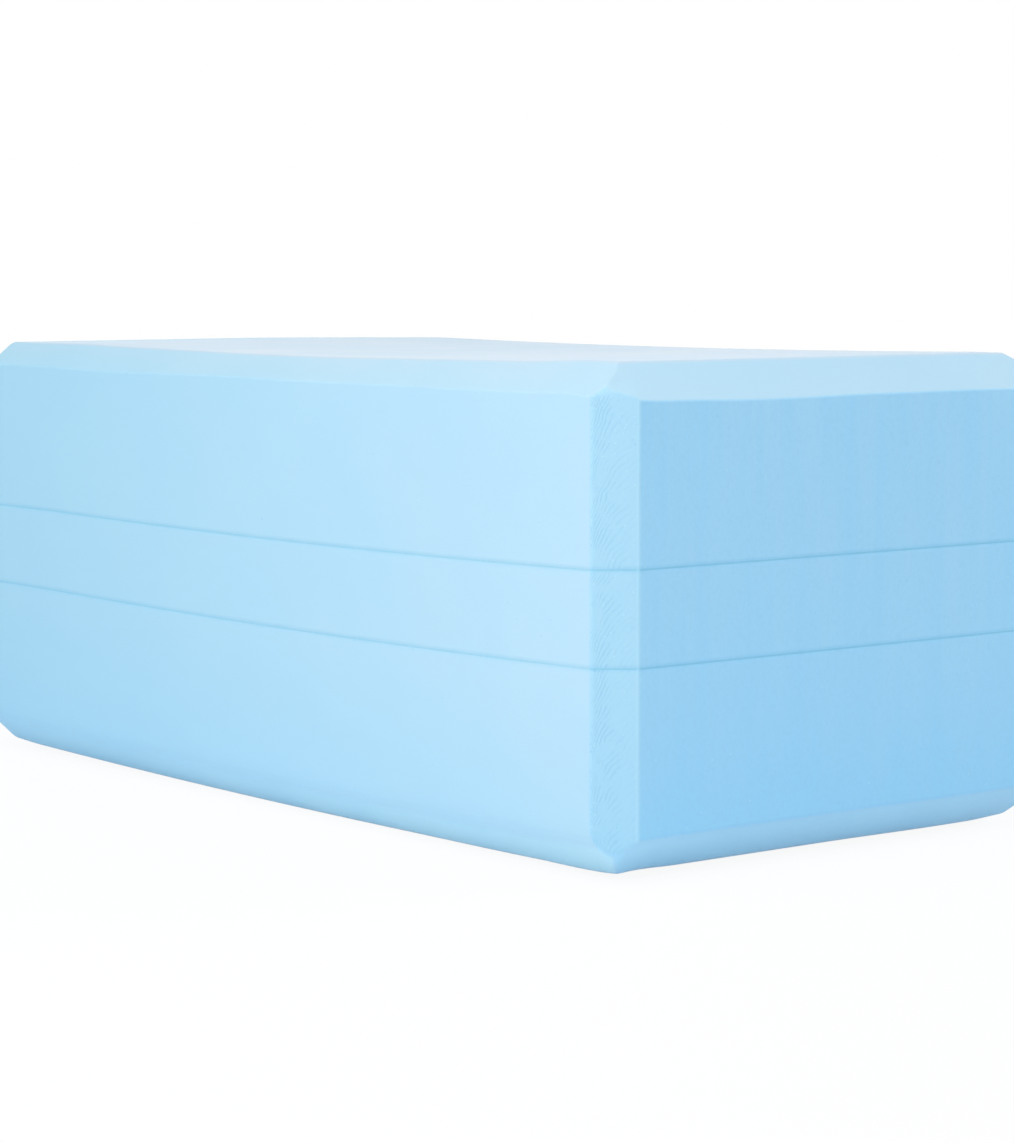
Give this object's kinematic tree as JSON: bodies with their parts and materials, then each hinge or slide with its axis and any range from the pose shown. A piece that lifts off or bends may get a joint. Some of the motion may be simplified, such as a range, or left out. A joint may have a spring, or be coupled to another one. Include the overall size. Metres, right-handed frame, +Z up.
{
  "type": "foam block",
  "caption": "Rectangular laminated foam block with chamfered edges, used as a firm support under a hand, foot or back during stretching.",
  "frame": {"origin": "centre of the underside", "axes": "+X along the length, +Y across the width, +Z up through the layers"},
  "size_m": [0.22, 0.11, 0.09],
  "materials": {
    "foam": "matt closed-cell foam in pale blue, finely pored, with faint saw marks on the cut edges",
    "glue": "thin film of cured contact glue, satin, a teal a little darker than the foam"
  },
  "bodies": {
    "root": {"bottom_sheet": "foam", "lower_glue_line": "glue", "middle_sheet": "foam", "upper_glue_line": "glue", "top_sheet": "foam"}
  },
  "joints": []
}
